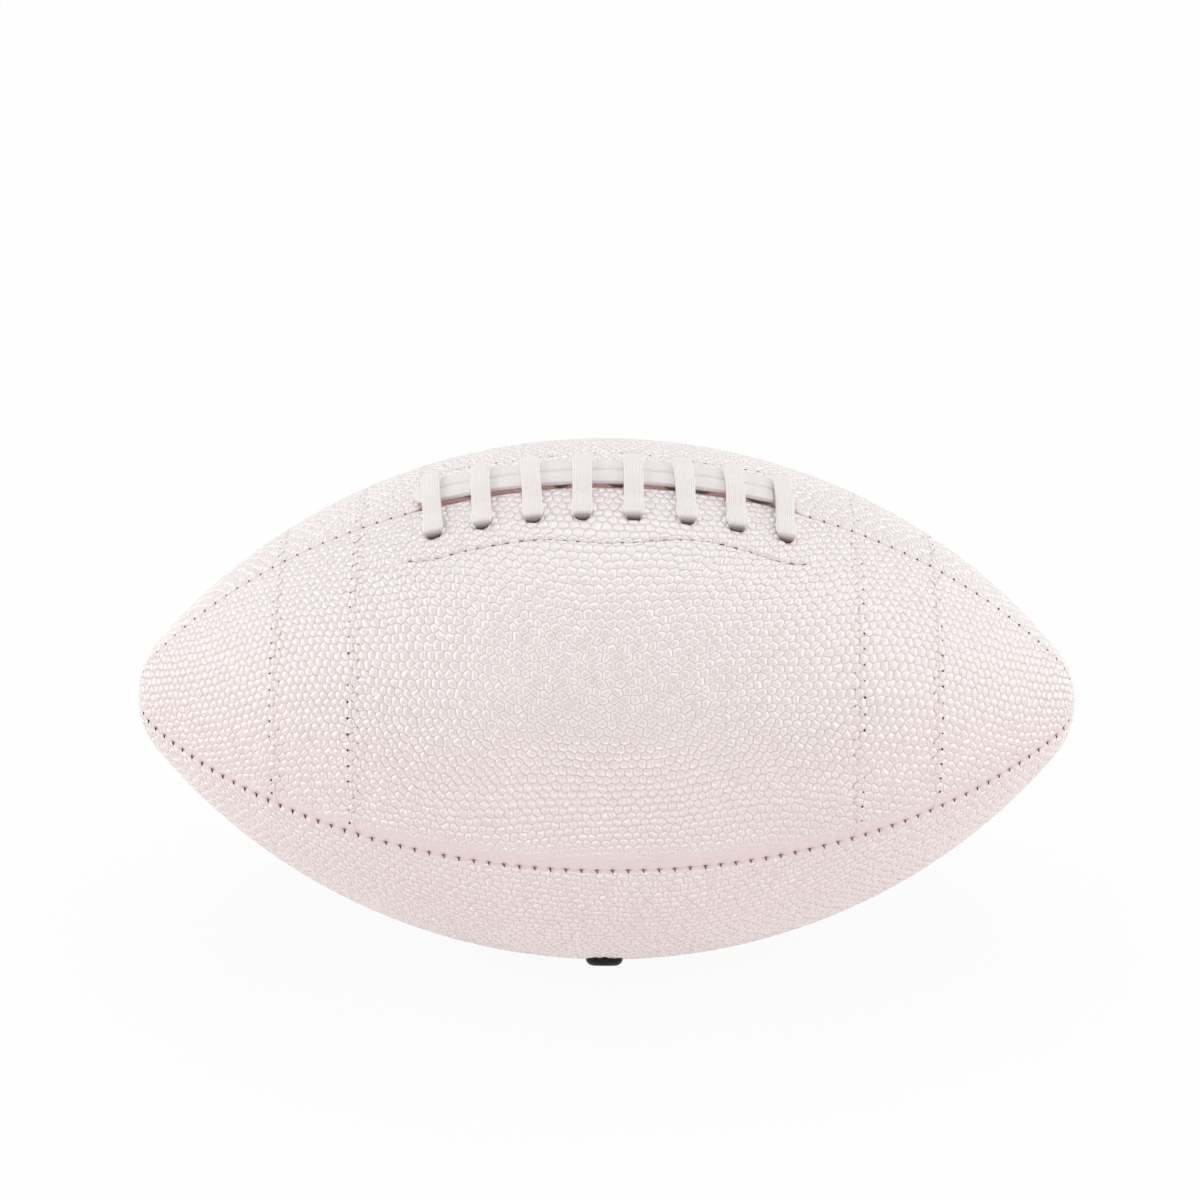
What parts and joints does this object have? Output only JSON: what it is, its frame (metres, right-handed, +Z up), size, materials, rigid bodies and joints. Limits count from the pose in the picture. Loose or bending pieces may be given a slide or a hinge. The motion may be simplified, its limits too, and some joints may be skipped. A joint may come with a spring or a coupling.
{
  "type": "american football",
  "caption": "Laced pebbled ball with pointed ends: sewn panels with stripe bands over cloth linings, a rubber bladder and valve, closed by a flat lace, for throwing, kicking and carrying.",
  "frame": {"origin": "on the floor under the middle of the ball, at the centre of its resting flat", "axes": "+X along the ball's long axis, to the right in the picture; +Z up, through the middle of the laces; -Y towards the front"},
  "size_m": [0.28, 0.1552, 0.1586],
  "materials": {
    "cover_leather": "pebbled, semi-gloss",
    "lining_cloth": "woven",
    "bladder_rubber": "matte",
    "valve_rubber": "satin",
    "lace_cloth": "ribbed weave",
    "facing_cloth": "woven",
    "thread": "waxed"
  },
  "bodies": {
    "root": {"top_front_panel": "cover_leather", "top_front_stripe_left": "cover_leather", "top_front_stripe_right": "cover_leather", "top_front_end_left": "cover_leather", "top_front_end_right": "cover_leather", "top_back_panel": "cover_leather", "top_back_stripe_left": "cover_leather", "top_back_stripe_right": "cover_leather", "top_back_end_left": "cover_leather", "top_back_end_right": "cover_leather", "bottom_front_panel": "cover_leather", "bottom_back_panel": "cover_leather", "top_front_lining": "lining_cloth", "top_back_lining": "lining_cloth", "bottom_front_lining": "lining_cloth", "bottom_back_lining": "lining_cloth", "bladder": "bladder_rubber", "valve_body": "valve_rubber", "valve_core": "valve_rubber", "lace": "lace_cloth", "lace_facing_front": "facing_cloth", "lace_facing_back": "facing_cloth", "lace_tongue": "facing_cloth", "seam_thread_front": "thread", "seam_thread_back": "thread", "seam_thread_bottom": "thread", "seam_thread_top_left": "thread", "seam_thread_top_right": "thread", "facing_stitch_front": "thread", "facing_stitch_back": "thread", "stripe_stitch_front_left_inner": "thread", "stripe_stitch_front_left_outer": "thread", "stripe_stitch_front_right_inner": "thread", "stripe_stitch_front_right_outer": "thread", "stripe_stitch_back_left_inner": "thread", "stripe_stitch_back_left_outer": "thread", "stripe_stitch_back_right_inner": "thread", "stripe_stitch_back_right_outer": "thread"}
  },
  "joints": []
}
